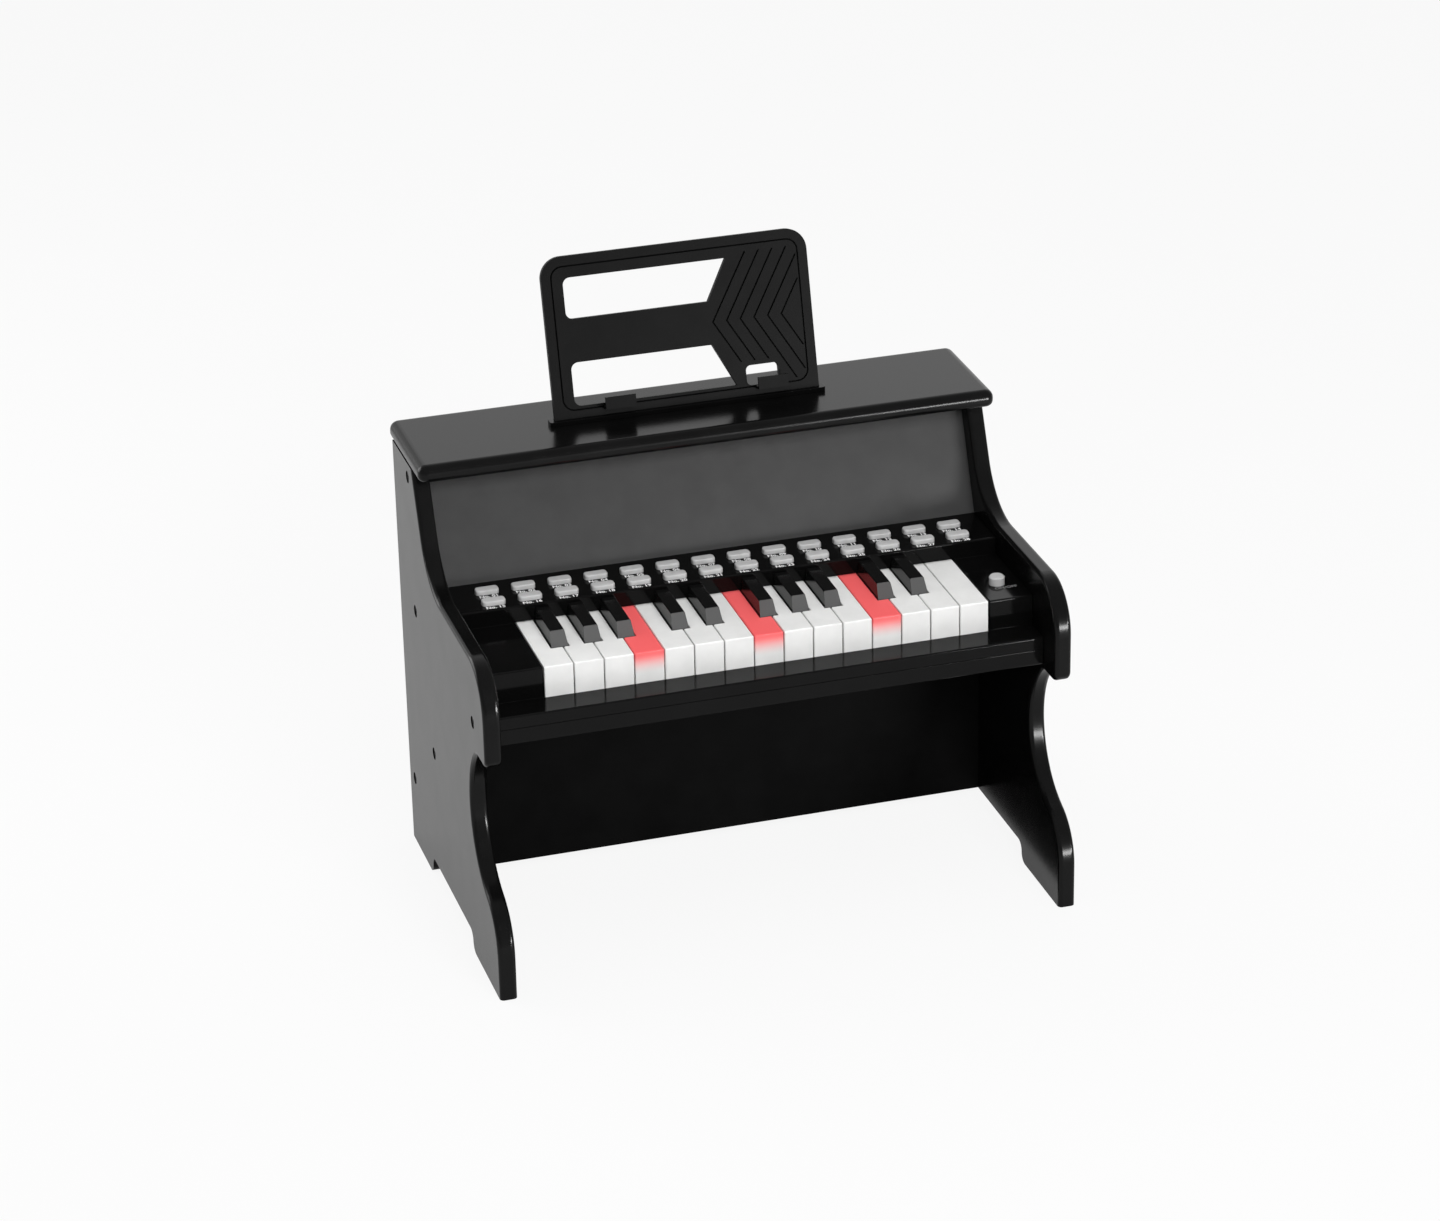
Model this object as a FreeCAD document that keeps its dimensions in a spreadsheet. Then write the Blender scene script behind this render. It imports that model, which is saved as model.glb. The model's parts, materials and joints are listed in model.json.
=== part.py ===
import FreeCAD, Part
import math
import os

import Sketcher

# A toy upright piano: a wooden cabinet round an electronic keyboard module, with a lift-out music stand.
# Millimetres, +Z up, front towards -Y. Depths are measured forward from the rear edge of the side panels.
SIZES = {
    # Cabinet boards
    "rear_plane": 121.0,
    "cabinet_width": 410.0,
    "side_thickness": 12.0,
    "side_height": 307.5,
    "side_edge_radius": 3.0,
    # Side panel outline, from the foot up
    "foot_depth": 251.0,
    "rear_foot_length": 54.0,
    "front_foot_start": 184.0,
    "arch_height": 14.0,
    "toe_radius": 39.0,
    "toe_height": 30.0,
    "waist_setback": 27.0,
    "waist_radius": 57.0,
    "armpit_radius": 10.0,
    "arm_bottom": 166.0,
    "arm_corner_radius": 7.0,
    "arm_reach": 22.0,
    "arm_front_radius": 35.0,
    "arm_top": 234.5,
    "shoulder_radius": 51.0,
    "shoulder_slope": 24.0,
    "side_top_depth": 57.0,
    # Top board
    "lid_side_overhang": 0.5,
    "lid_front_depth": 84.0,
    "lid_rear_overhang": 9.0,
    "lid_thickness": 12.0,
    "lid_top_radius": 6.0,
    "lid_bottom_radius": 4.0,
    "lid_corner_radius": 6.5,
    # Upper, lower and rear boards
    "fall_top_depth": 43.5,
    "fall_bottom_depth": 76.0,
    "fall_thickness": 9.5,
    "knee_depth": 87.0,
    "knee_thickness": 9.0,
    "knee_clearance": 14.0,
    "back_depth": 18.0,
    "back_thickness": 7.0,
    "back_clearance": 14.0,
    # Cabinet bolts
    "bolt_head_radius": 4.2,
    "bolt_head_length": 4.0,
    "bolt_shank_radius": 2.0,
    "bolt_grip": 20.0,
    "bolt_clearance": 0.15,
    "bolt_sink": 0.8,
    "fall_bolt_drop": 10.5,
    "case_rear_bolt_height": 197.5,
    "case_front_bolt_height": 187.0,
    "case_front_bolt_setback": 10.0,
    "case_rear_bolt_depth": 46.0,
    "knee_bolt_height": 105.0,
    "back_bolt_height": 53.0,
    "bolt_socket_radius": 2.2,
    "bolt_socket_depth": 2.2,
    "bolt_boss_radius": 4.0,
    "bolt_boss_end": 2.0,
    # Keyboard module
    "case_gap": 0.3,
    "case_wall": 2.5,
    "case_front_depth": 216.0,
    "case_rear_depth": 38.0,
    "ledge_depth": 22.0,
    "case_bottom": 171.0,
    "case_seam": 182.5,
    "ledge_height": 191.5,
    "deck_height": 226.0,
    "deck_share": 0.466,
    "case_edge_radius": 1.2,
    "seam_radius": 0.5,
    "rail_wall": 2.0,
    # Keys
    "left_cheek": 40.4,
    "right_cheek": 31.5,
    "key_gap": 0.7,
    "key_top": 213.5,
    "key_front_bottom": 187.0,
    "key_slab": 12.5,
    "key_front_wall": 2.5,
    "key_edge_radius": 0.9,
    "key_well_gap": 0.8,
    "key_tail_depth": 76.0,
    "key_tail_share": 0.335,
    "black_share": 0.574,
    "black_top_share": 0.459,
    "black_height": 9.5,
    "black_front_share": 0.63,
    "black_nose": 6.5,
    "black_edge_radius": 0.8,
    "black_clearance": 0.7,
    "black_step": 0.2,
    "three_spread_share": 0.105,
    "two_spread_share": 0.077,
    "fascia_gap": 0.6,
    # Key pivot
    "pivot_depth": 62.0,
    "pivot_height": 205.0,
    "rod_radius": 2.0,
    "rod_clearance": 0.1,
    "hub_radius": 3.8,
    "post_width": 3.0,
    "post_depth": 10.0,
    # Contacts and boards inside the module
    "board_thickness": 1.6,
    "key_board_rear_share": 0.07,
    "key_board_front_share": 0.53,
    "key_board_height": 184.0,
    "contact_width": 12.0,
    "contact_height": 9.5,
    "board_rib": 3.0,
    "rear_row_depth": 58.5,
    "speaker_radius": 17.0,
    "speaker_rim": 3.0,
    "speaker_height": 16.0,
    "magnet_radius": 9.0,
    "slot_width": 2.0,
    "slot_pitch": 4.6,
    "slot_length": 22.0,
    # Battery bay
    "cell_radius": 7.2,
    "cell_length": 50.0,
    "cell_gap": 0.6,
    "bay_wall": 2.0,
    "door_thickness": 2.0,
    "door_gap": 0.3,
    # Control buttons and power button
    "button_centre": 1.5,
    "button_margin": 26.3,
    "button_rear_share": 0.367,
    "button_front_share": 0.778,
    "button_length": 16.2,
    "button_width": 7.8,
    "button_rise": 3.2,
    "button_corner_radius": 2.6,
    "button_top_radius": 1.1,
    "button_gap": 0.3,
    "button_travel": 1.2,
    "flange_margin": 0.9,
    "flange_thickness": 1.0,
    "button_board_gap": 0.3,
    "board_post_radius": 2.0,
    "power_inset": 15.7,
    "power_share": 0.616,
    "power_radius": 5.4,
    "power_rise": 5.0,
    "power_travel": 2.5,
    "power_gap": 0.3,
    "power_depth_below": 6.0,
    "power_recess_margin": 2.4,
    "power_recess_depth": 1.0,
    "power_top_radius": 1.0,
    "switch_width": 13.0,
    # Music stand
    "stand_centre": -4.5,
    "stand_width": 190.0,
    "stand_height": 113.0,
    "stand_thickness": 4.0,
    "stand_tilt": 15.0,
    "stand_depth": 40.0,
    "stand_corner_radius": 15.0,
    "socket_length": 198.0,
    "socket_width": 9.0,
    "socket_height": 3.4,
    "socket_floor": 1.6,
    "socket_clearance": 0.25,
    "socket_corner_radius": 2.0,
    "socket_seat": 0.1,
    "window_margin": 15.0,
    "window_reach": 116.0,
    "window_slant": 15.3,
    "window_top": 98.0,
    "window_upper_sill": 69.5,
    "window_lower_head": 39.5,
    "window_bottom": 9.5,
    "window_radius": 5.0,
    "rim_offset": 6.5,
    "groove_width": 1.1,
    "groove_depth": 0.8,
    "chevron_start": 117.5,
    "chevron_pitch": 9.9,
    "chevron_height": 55.0,
    "chevron_top": 101.0,
    "chevron_bottom": 25.0,
    "chevron_slant": 0.59,
    "chevron_edge": 182.0,
    "notch_left": 138.5,
    "notch_length": 23.5,
    "notch_bottom": 8.0,
    "notch_top": 22.0,
    "notch_radius": 3.5,
    "tab_left": 35.0,
    "tab_right": 144.5,
    "tab_length": 21.5,
    "tab_reach": 8.0,
    "tab_thickness": 2.0,
    "tab_bottom": 5.5,
    "tab_height": 8.5,
}

WHITE_COUNT = 15
# Each black key stands over the gap after this white key, pushed sideways by a share of its group's spread.
BLACK_KEYS = [(1, -1, "three"), (2, 0, "three"), (3, 1, "three"), (5, -1, "two"), (6, 1, "two"),
              (8, -1, "three"), (9, 0, "three"), (10, 1, "three"), (12, -1, "two"), (13, 1, "two")]
# White keys after which no black key stands, where the pivot rod has a post.
POST_GAPS = (4, 7, 14)
BUTTON_COLUMNS = 14
CHEVRON_COUNT = 6
SPEAKER_SLOTS = 5

doc = FreeCAD.newDocument("toy_piano")
sheet = doc.addObject("Spreadsheet::Sheet", "Sizes")
for row, (alias, number) in enumerate(SIZES.items(), start=1):
    sheet.set(f"A{row}", alias)
    sheet.set(f"B{row}", str(number))
    sheet.setAlias(f"B{row}", alias)
doc.recompute()


class Size:
    """A length that knows its number and the sheet formula that it comes from."""

    def __init__(self, value, text):
        self.value = float(value)
        self.text = text

    def __add__(self, other):
        other = as_size(other)
        return Size(self.value + other.value, f"({self.text} + {other.text})")

    def __sub__(self, other):
        other = as_size(other)
        return Size(self.value - other.value, f"({self.text} - {other.text})")

    def __mul__(self, other):
        other = as_size(other)
        return Size(self.value * other.value, f"({self.text} * {other.text})")

    def __truediv__(self, other):
        other = as_size(other)
        return Size(self.value / other.value, f"({self.text} / {other.text})")

    def __neg__(self):
        return Size(-self.value, f"(0 - {self.text})")


def as_size(item):
    return item if isinstance(item, Size) else Size(item, f"({item})")


def sine(angle):
    return Size(math.sin(math.radians(angle.value)), f"sin({angle.text} * 1 deg)")


def cosine(angle):
    return Size(math.cos(math.radians(angle.value)), f"cos({angle.text} * 1 deg)")


def tangent(angle):
    return Size(math.tan(math.radians(angle.value)), f"tan({angle.text} * 1 deg)")


def root(area):
    return Size(math.sqrt(area.value), f"sqrt({area.text})")


def least(first, second):
    return Size(min(first.value, second.value), f"min({first.text}; {second.text})")


def size(alias):
    return Size(sheet.get(alias), f"Sizes.{alias}")


def back(depth):
    """Y of a point at this depth in front of the side panels' rear edge."""
    return size("rear_plane") - depth


# Shape helpers

def place(obj, x, y, z):
    obj.setExpression("Placement.Base.x", as_size(x).text)
    obj.setExpression("Placement.Base.y", as_size(y).text)
    obj.setExpression("Placement.Base.z", as_size(z).text)


def box(label, x_range, y_range, z_range):
    obj = doc.addObject("Part::Box", label)
    for prop, (low, high) in zip(("Length", "Width", "Height"), (x_range, y_range, z_range)):
        obj.setExpression(prop, (as_size(high) - low).text)
    place(obj, x_range[0], y_range[0], z_range[0])
    return obj


def cylinder(label, radius, start, length, along="Z"):
    obj = doc.addObject("Part::Cylinder", label)
    if along == "X":
        obj.Placement = FreeCAD.Placement(FreeCAD.Vector(), FreeCAD.Rotation(FreeCAD.Vector(0, 1, 0), 90))
    obj.setExpression("Radius", as_size(radius).text)
    obj.setExpression("Height", as_size(length).text)
    place(obj, *start)
    return obj


def group(label, members):
    obj = doc.addObject("Part::Compound", label)
    obj.Links = members
    return obj


def fuse(label, *members):
    obj = doc.addObject("Part::MultiFuse", label)
    obj.Shapes = list(members)
    obj.Refine = True
    return obj


def cut(label, base, *tools):
    obj = doc.addObject("Part::Cut", label)
    obj.Base = base
    obj.Tool = tools[0] if len(tools) == 1 else group(f"{label}_cutters", list(tools))
    return obj


def arc_between(start, end, centre):
    """The short arc from start to end, and whether it runs counter-clockwise."""
    first = math.atan2(start[1] - centre[1], start[0] - centre[0])
    last = math.atan2(end[1] - centre[1], end[0] - centre[0])
    forward = (last - first) % (2 * math.pi) < math.pi
    circle = Part.Circle(FreeCAD.Vector(centre[0], centre[1], 0), FreeCAD.Vector(0, 0, 1),
                         math.dist(start, centre))
    return Part.ArcOfCircle(circle, *((first, last) if forward else (last, first))), forward


def outline(sketch, corners):
    """Closes a loop of corners (x, y) or, where an arc leads on, (x, y, centre x, centre y, radius)."""
    names = []
    for place_in_loop, corner in enumerate(corners):
        following = corners[(place_in_loop + 1) % len(corners)]
        start = (corner[0].value, corner[1].value)
        end = (following[0].value, following[1].value)
        if len(corner) == 2:
            edge = Part.LineSegment(FreeCAD.Vector(*start, 0), FreeCAD.Vector(*end, 0))
            forward = True
        else:
            edge, forward = arc_between(start, end, (corner[2].value, corner[3].value))
        names.append((sketch.addGeometry(edge, False), 1 if forward else 2, 2 if forward else 1))
    for place_in_loop, corner in enumerate(corners):
        edge, start, end = names[place_in_loop]
        next_edge, next_start, next_end = names[(place_in_loop + 1) % len(corners)]
        sketch.addConstraint(Sketcher.Constraint("Coincident", edge, end, next_edge, next_start))
        bindings = [("DistanceX", corner[0]), ("DistanceY", corner[1])]
        for kind, wanted in bindings:
            number = sketch.addConstraint(Sketcher.Constraint(kind, -1, 1, edge, start, wanted.value))
            sketch.setExpression(f"Constraints[{number}]", wanted.text)
        if len(corner) == 5:
            number = sketch.addConstraint(Sketcher.Constraint("Radius", edge, corner[4].value))
            sketch.setExpression(f"Constraints[{number}]", corner[4].text)


def rounded(x_range, y_range, radius, round_top=True, round_bottom=True):
    """Corners of an upright rectangle with rounded top or bottom corners."""
    left, right = x_range
    low, high = y_range
    loop = []
    if round_bottom:
        loop.append((left + radius, low))
        loop.append((right - radius, low, right - radius, low + radius, radius))
        loop.append((right, low + radius))
    else:
        loop.append((left, low))
        loop.append((right, low))
    if round_top:
        loop.append((right, high - radius, right - radius, high - radius, radius))
        loop.append((right - radius, high))
        loop.append((left + radius, high, left + radius, high - radius, radius))
        loop.append((left, high - radius))
    else:
        loop.append((right, high))
        loop.append((left, high))
    if round_bottom:
        loop.append((left, low + radius, left + radius, low + radius, radius))
    return loop


def draw(body, plane, loops, height):
    """A sketch of closed loops on a plane of the body's own, moved along the plane's normal."""
    sketch = body.newObject("Sketcher::SketchObject", f"{body.Name}_outline")
    support = next(item for item in body.Origin.OriginFeatures if item.Role == plane)
    sketch.AttachmentSupport = [(support, "")]
    sketch.MapMode = "FlatFace"
    sketch.setExpression("AttachmentOffset.Base.z", as_size(height).text)
    for corners in loops:
        outline(sketch, corners)
    return sketch


def pad(label, plane, loops, start, length):
    """A body padded from loops along their plane's normal."""
    body = doc.addObject("PartDesign::Body", label)
    sketch = draw(body, plane, loops, start)
    feature = body.newObject("PartDesign::Pad", f"{label}_pad")
    feature.Profile = sketch
    feature.setExpression("Length", as_size(length).text)
    return body


def frustum(label, lower, upper, low, high):
    """A block between two level rectangles, each given as left, right, front and rear."""
    obj = doc.addObject("Part::Wedge", label)
    obj.Placement = FreeCAD.Placement(FreeCAD.Vector(), FreeCAD.Rotation(FreeCAD.Vector(1, 0, 0), 90))
    left, right, front, rear = lower
    for prop, wanted in zip(("Xmin", "Xmax", "Zmax", "Zmin"), (left, right, -front, -rear)):
        obj.setExpression(prop, wanted.text)
    left, right, front, rear = upper
    for prop, wanted in zip(("X2min", "X2max", "Z2max", "Z2min"), (left, right, -front, -rear)):
        obj.setExpression(prop, wanted.text)
    obj.setExpression("Ymin", low.text)
    obj.setExpression("Ymax", high.text)
    return obj


def round_block(label, block, radius, chosen):
    """Rounds the edges of a plain block that the test chosen accepts."""
    doc.recompute()
    obj = doc.addObject("Part::Fillet", label)
    obj.Base = block
    obj.Edges = [(number, radius.value, radius.value)
                 for number, edge in enumerate(block.Shape.Edges, start=1) if chosen(edge)]
    return obj


def round_edges(body, radius, chosen):
    """Rounds the edges of a body that the test chosen accepts."""
    doc.recompute()
    solid = body.Tip
    names = [f"Edge{number}" for number, edge in enumerate(solid.Shape.Edges, start=1) if chosen(edge)]
    feature = body.newObject("PartDesign::Fillet", f"{body.Name}_round")
    feature.Base = (solid, names)
    feature.setExpression("Radius", radius.text)


def near(first, second):
    return abs(first - second) < 0.001


def lies_at(edge, axis, value):
    """True where both ends of an edge have this coordinate."""
    return all(near(getattr(vertex.Point, axis), value) for vertex in edge.Vertexes)


def runs_along_x(edge, y, z):
    """True for an edge that runs across the piano at this Y and Z."""
    return lies_at(edge, "y", y.value) and lies_at(edge, "z", z.value)


ZERO = as_size(0)
half_outer = size("cabinet_width") / 2
half_inner = half_outer - size("side_thickness")
lid_bottom = size("side_height")
lid_top = lid_bottom + size("lid_thickness")


# Side panels

def side_outline():
    """The profile of a side panel, with depths turned into Y."""
    arch = size("arch_height")
    ogee = arch / 2
    rear_foot = size("rear_foot_length")
    front_foot = size("front_foot_start")
    foot = size("foot_depth")
    toe = size("toe_radius")
    toe_height = size("toe_height")
    waist = size("waist_radius")
    waist_centre = size("case_front_depth") - size("waist_setback") + waist
    run = waist_centre - (foot - toe)
    reach = toe + waist
    rise = root(reach * reach - run * run)
    waist_height = toe_height + rise
    pit = size("armpit_radius")
    arm_bottom = size("arm_bottom")
    pit_reach = waist - pit
    pit_rise = arm_bottom - pit - waist_height
    pit_run = root(pit_reach * pit_reach - pit_rise * pit_rise)
    pit_depth = waist_centre - pit_run
    arm = size("case_front_depth") + size("arm_reach")
    corner = size("arm_corner_radius")
    nose = size("arm_front_radius")
    arm_top = size("arm_top")
    slope = size("shoulder_slope")
    bend = size("shoulder_radius")
    shoulder_foot = size("side_top_depth") + (size("side_height") - arm_top) * tangent(slope)
    bend_length = bend * tangent((as_size(90) - slope) / 2)
    shoulder_start = shoulder_foot + bend_length
    profile = [
        (ZERO, ZERO),
        (rear_foot, ZERO, rear_foot, ogee, ogee),
        (rear_foot + ogee, ogee, rear_foot + arch, ogee, ogee),
        (rear_foot + arch, arch),
        (front_foot - arch, arch, front_foot - arch, ogee, ogee),
        (front_foot - ogee, ogee, front_foot, ogee, ogee),
        (front_foot, ZERO),
        (foot, ZERO),
        (foot, toe_height, foot - toe, toe_height, toe),
        (foot - toe + run * toe / reach, toe_height + rise * toe / reach, waist_centre, waist_height, waist),
        (waist_centre - pit_run * waist / pit_reach, waist_height + pit_rise * waist / pit_reach,
         pit_depth, arm_bottom - pit, pit),
        (pit_depth, arm_bottom),
        (arm - corner, arm_bottom, arm - corner, arm_bottom + corner, corner),
        (arm, arm_bottom + corner),
        (arm, arm_top - nose, arm - nose, arm_top - nose, nose),
        (arm - nose, arm_top),
        (shoulder_start, arm_top, shoulder_start, arm_top + bend, bend),
        (shoulder_foot - bend_length * sine(slope), arm_top + bend_length * cosine(slope)),
        (size("side_top_depth"), size("side_height")),
        (ZERO, size("side_height")),
    ]
    return [(back(point[0]), point[1]) if len(point) == 2 else
            (back(point[0]), point[1], back(point[2]), point[3], point[4]) for point in profile]


def on_front_contour(edge):
    """True for the long curved edges from the toe up to the lid, on both faces of a side panel."""
    heights = [vertex.Point.z for vertex in edge.Vertexes]
    flat = near(edge.BoundBox.XLength, 0)
    at_rear = lies_at(edge, "y", size("rear_plane").value)
    at_top = lies_at(edge, "z", size("side_height").value)
    return flat and max(heights) > size("arch_height").value + 1 and not at_rear and not at_top


def fall_front(height):
    """Depth of the fall panel's front face at this height."""
    slope = (size("fall_bottom_depth") - size("fall_top_depth")) / (lid_bottom - size("deck_height"))
    return size("fall_top_depth") + (lid_bottom - height) * slope


fall_bolt_height = lid_bottom - size("fall_bolt_drop")
fall_bolt = (fall_front(fall_bolt_height) - size("fall_thickness") / 2, fall_bolt_height)
case_rear_bolt = (size("case_rear_bolt_depth"), size("case_rear_bolt_height"))
case_front_bolt = (size("case_front_depth") - size("case_front_bolt_setback"), size("case_front_bolt_height"))
knee_bolt = (size("knee_depth") - size("knee_thickness") / 2, size("knee_bolt_height"))
back_bolt = (size("back_depth") - size("back_thickness") / 2, size("back_bolt_height"))
BOLTS = {"fall": fall_bolt, "case_rear": case_rear_bolt, "case_front": case_front_bolt,
         "knee": knee_bolt, "back": back_bolt}
bolt_head_start = half_outer - size("bolt_sink")
bolt_head_end = bolt_head_start - size("bolt_head_length")
bolt_tip = bolt_head_end - size("bolt_grip")


def across(label, side, radius, depth, height, inner, outer):
    """A cylinder across the piano on one side of it, between two distances from the middle."""
    low = inner if side > 0 else -outer
    return cylinder(label, radius, (low, back(depth), height), outer - inner, along="X")


def bolt_hole(name, side, point):
    """The drilled and counterbored hole of one cabinet bolt."""
    drill = across(f"{name}_drill", side, size("bolt_shank_radius") + size("bolt_clearance"), *point,
                   bolt_tip - 1, half_outer + 1)
    bore = across(f"{name}_bore", side, size("bolt_head_radius") + size("bolt_clearance"), *point,
                  bolt_head_end, half_outer + 1)
    return fuse(f"{name}_hole", drill, bore)


def bolt(name, side, point):
    """A cabinet bolt with a six-sided socket in its head."""
    head = across(f"{name}_head", side, size("bolt_head_radius"), *point, bolt_head_end, bolt_head_start)
    shank = across(f"{name}_shank", side, size("bolt_shank_radius"), *point, bolt_tip, bolt_head_end + 0.5)
    socket = doc.addObject("Part::Prism", f"{name}_socket")
    socket.Polygon = 6
    socket.Placement = FreeCAD.Placement(FreeCAD.Vector(), FreeCAD.Rotation(FreeCAD.Vector(0, 1, 0), 90))
    socket.setExpression("Circumradius", size("bolt_socket_radius").text)
    socket.setExpression("Height", (size("bolt_socket_depth") + 1).text)
    floor = bolt_head_start - size("bolt_socket_depth")
    place(socket, floor if side > 0 else -(bolt_head_start + 1), back(point[0]), point[1])
    return cut(name, fuse(f"{name}_blank", head, shank), socket)


SIDES = {"left": -1, "right": 1}
holes = {name: [bolt_hole(f"{side}_{name}", sign, point) for side, sign in SIDES.items()]
         for name, point in BOLTS.items()}
nodes = []
for place_of_side, (side, sign) in enumerate(SIDES.items()):
    start = half_inner if sign > 0 else -half_outer
    blank = pad(f"{side}_side_blank", "YZ_Plane", [side_outline()], start, size("side_thickness"))
    round_edges(blank, size("side_edge_radius"), on_front_contour)
    nodes.append(cut(f"{side}_side_panel", blank, *[pair[place_of_side] for pair in holes.values()]))
nodes.append(group("panel_bolts", [bolt(f"{side}_{name}_bolt", sign, point)
                                   for side, sign in SIDES.items() for name, point in BOLTS.items()]))

# Top board with rounded edges
lid_half = half_outer + size("lid_side_overhang")
lid_y = (back(size("lid_front_depth")), back(-size("lid_rear_overhang")))
top_board = pad("top_board", "XY_Plane", [rounded((-lid_half, lid_half), lid_y, size("lid_corner_radius"))],
                lid_bottom, size("lid_thickness"))
round_edges(top_board, size("lid_top_radius"), lambda edge: lies_at(edge, "z", lid_top.value))
round_edges(top_board, size("lid_bottom_radius"), lambda edge: lies_at(edge, "z", lid_bottom.value))
nodes.append(top_board)

# Fall panel above the keyboard, knee panel below it, and the rear board
fall_bottom = size("deck_height")
fall_blank = pad("fall_blank", "YZ_Plane", [[
    (back(size("fall_bottom_depth")), fall_bottom),
    (back(size("fall_bottom_depth") - size("fall_thickness")), fall_bottom),
    (back(size("fall_top_depth") - size("fall_thickness")), lid_bottom),
    (back(size("fall_top_depth")), lid_bottom)]], -half_inner, half_inner * 2)
nodes.append(cut("fall_panel", fall_blank, *holes["fall"]))
knee_blank = box("knee_blank", (-half_inner, half_inner),
                 (back(size("knee_depth")), back(size("knee_depth") - size("knee_thickness"))),
                 (size("knee_clearance"), size("case_bottom")))
nodes.append(cut("knee_panel", knee_blank, *holes["knee"]))
back_blank = box("back_blank", (-half_inner, half_inner),
                 (back(size("back_depth")), back(size("back_depth") - size("back_thickness"))),
                 (size("back_clearance"), lid_bottom))
nodes.append(cut("back_panel", back_blank, *holes["back"]))

# Places along the keyboard and inside the module
case_half = half_inner - size("case_gap")
wall = size("case_wall")
key_left = size("left_cheek") - case_half
key_right = case_half - size("right_cheek")
pitch = (key_right - key_left) / WHITE_COUNT
well_left = key_left - size("key_well_gap")
well_right = key_right + size("key_well_gap")
key_top = size("key_top")
deck = size("deck_height")
seam = size("case_seam")
floor_top = size("case_bottom") + wall
key_front = size("case_front_depth") - size("ledge_depth")
case_depth = size("case_front_depth") - size("case_rear_depth")
deck_front = size("case_rear_depth") + case_depth * size("deck_share")
rail_rear = key_front + size("fascia_gap")
pivot_y = back(size("pivot_depth"))
pivot_z = size("pivot_height")
bore_radius = size("rod_radius") + size("rod_clearance")
button_pitch = (case_half - size("button_margin")) * 2 / (BUTTON_COLUMNS - 1)
button_x = [size("button_centre") + button_pitch * (column - (BUTTON_COLUMNS - 1) / 2)
            for column in range(BUTTON_COLUMNS)]
deck_depth = deck_front - size("fall_bottom_depth")
button_rows = {row: size("fall_bottom_depth") + deck_depth * size(f"button_{row}_share")
               for row in ("rear", "front")}


def between_deck_and_keys(share):
    """A depth that lies at a named share of the way from the deck's front to the key fronts."""
    return deck_front + (key_front - deck_front) * size(share)


def pill(label, x, depth, margin, low, high):
    """An upright prism with the plan of a control button, grown by a margin."""
    half_length = size("button_length") / 2 + margin
    half_width = size("button_width") / 2 + margin
    loop = rounded((x - half_length, x + half_length), (back(depth) - half_width, back(depth) + half_width),
                   size("button_corner_radius") + margin)
    return pad(label, "XY_Plane", [loop], low, high - low)


def on_front_seam(edge):
    """True for the front edge along which the two shells of the module meet."""
    return runs_along_x(edge, back(size("case_front_depth")), seam)


# Upper shell of the keyboard module
case_blank = pad("case_blank", "YZ_Plane", [[
    (back(size("case_rear_depth")), seam),
    (back(size("case_front_depth")), seam),
    (back(size("case_front_depth")), size("ledge_height")),
    (back(key_front), size("ledge_height")),
    (back(key_front), key_top),
    (back(deck_front), key_top),
    (back(deck_front), deck),
    (back(size("case_rear_depth")), deck)]], -case_half, case_half * 2)
case_corners = [(back(size("case_front_depth")), size("ledge_height")), (back(key_front), key_top),
                (back(deck_front), deck)]
round_edges(case_blank, size("case_edge_radius"),
            lambda edge: any(runs_along_x(edge, y, z) for y, z in case_corners))
round_edges(case_blank, size("seam_radius"), on_front_seam)
inner_half = case_half - wall
under_seam = seam - 1
case_hollows = [
    box("deck_hollow", (-inner_half, inner_half),
        (back(deck_front - wall), back(size("case_rear_depth") + wall)), (under_seam, deck - wall)),
    box("key_well", (well_left, well_right), (back(rail_rear), back(deck_front - wall - 1)),
        (under_seam, key_top + size("fascia_gap"))),
    box("rail_hollow", (-inner_half, inner_half),
        (back(size("case_front_depth") - wall), back(rail_rear + size("rail_wall"))),
        (under_seam, size("ledge_height") - wall)),
    box("left_cheek_hollow", (-inner_half, well_left - size("rail_wall")),
        (back(key_front - wall), back(deck_front - wall - 1)), (under_seam, key_top - wall)),
    box("right_cheek_hollow", (well_right + size("rail_wall"), inner_half),
        (back(key_front - wall), back(deck_front - wall - 1)), (under_seam, key_top - wall)),
]
case_shell = cut("case_shell", case_blank, fuse("case_hollow", *case_hollows))
bosses = [across(f"{side}_{name}_boss", sign, size("bolt_boss_radius"), *BOLTS[name],
                 bolt_tip - size("bolt_boss_end"), inner_half + 0.5)
          for side, sign in SIDES.items() for name in ("case_rear", "case_front")]
button_flange_top = deck - wall - size("button_gap")
button_bottom = button_flange_top - size("flange_thickness")
button_board_top = button_bottom - size("button_travel") - size("button_board_gap")
board_post_depth = (button_rows["rear"] + button_rows["front"]) / 2
board_posts = [cylinder(f"board_post_{step + 7}", size("board_post_radius"),
                        (size("button_centre") + button_pitch * step, back(board_post_depth),
                         button_board_top), deck - wall + 0.5 - button_board_top)
               for step in (-6, -2, 2, 6)]
button_holes = [pill(f"{row}_button_hole_{column:02d}", x, depth, size("button_gap"),
                     deck - wall - 1, deck + 1)
                for row, depth in button_rows.items() for column, x in enumerate(button_x, start=1)]
black_front = between_deck_and_keys("black_front_share")
power_point = (case_half - size("power_inset"), back(between_deck_and_keys("power_share")))
power_hole = cylinder("power_hole", size("power_radius") + size("power_gap"),
                      (*power_point, key_top - wall - 1), wall + 2)
power_recess = cylinder("power_recess", size("power_radius") + size("power_recess_margin"),
                        (*power_point, key_top - size("power_recess_depth")), size("power_recess_depth") + 1)
nodes.append(cut("keyboard_case", fuse("case_with_bosses", case_shell, *bosses, *board_posts),
                 *button_holes, fuse("power_opening", power_hole, power_recess),
                 *holes["case_rear"], *holes["case_front"]))

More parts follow.
